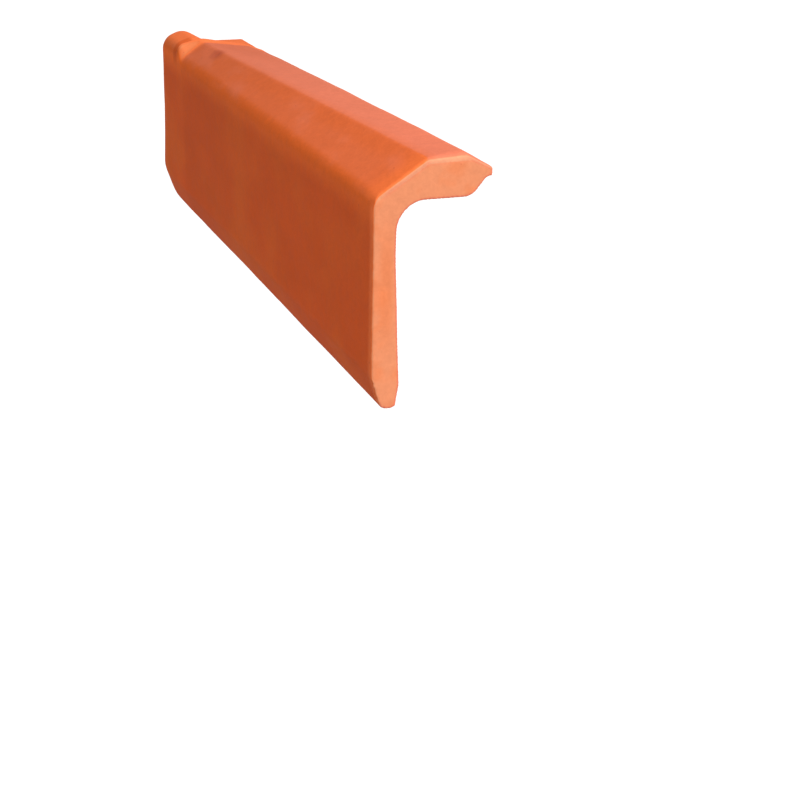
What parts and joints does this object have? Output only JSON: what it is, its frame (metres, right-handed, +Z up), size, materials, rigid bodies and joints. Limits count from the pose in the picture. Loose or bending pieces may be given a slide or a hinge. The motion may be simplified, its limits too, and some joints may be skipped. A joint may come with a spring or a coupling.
{
  "type": "verge tile",
  "caption": "Fired-clay verge tile: a deep flap that hangs over the roof's edge, under a thick ridged top leg with a lap and a rounded lobe at its head.",
  "frame": {"origin": "on the flat bed under the top leg, 39 mm in from the flap's outer face and halfway along the tile", "axes": "+Y along the tile from its tail to its head, +Z up, and the flap's outer face looks towards -X"},
  "size_m": [0.067, 0.44, 0.1378],
  "materials": {
    "fired_clay": "unglazed orange-red terracotta, matt, slightly darker and mottled on the pressed faces, lighter on rounded edges"
  },
  "bodies": {
    "root": {"verge_tile": "fired_clay"}
  },
  "joints": []
}
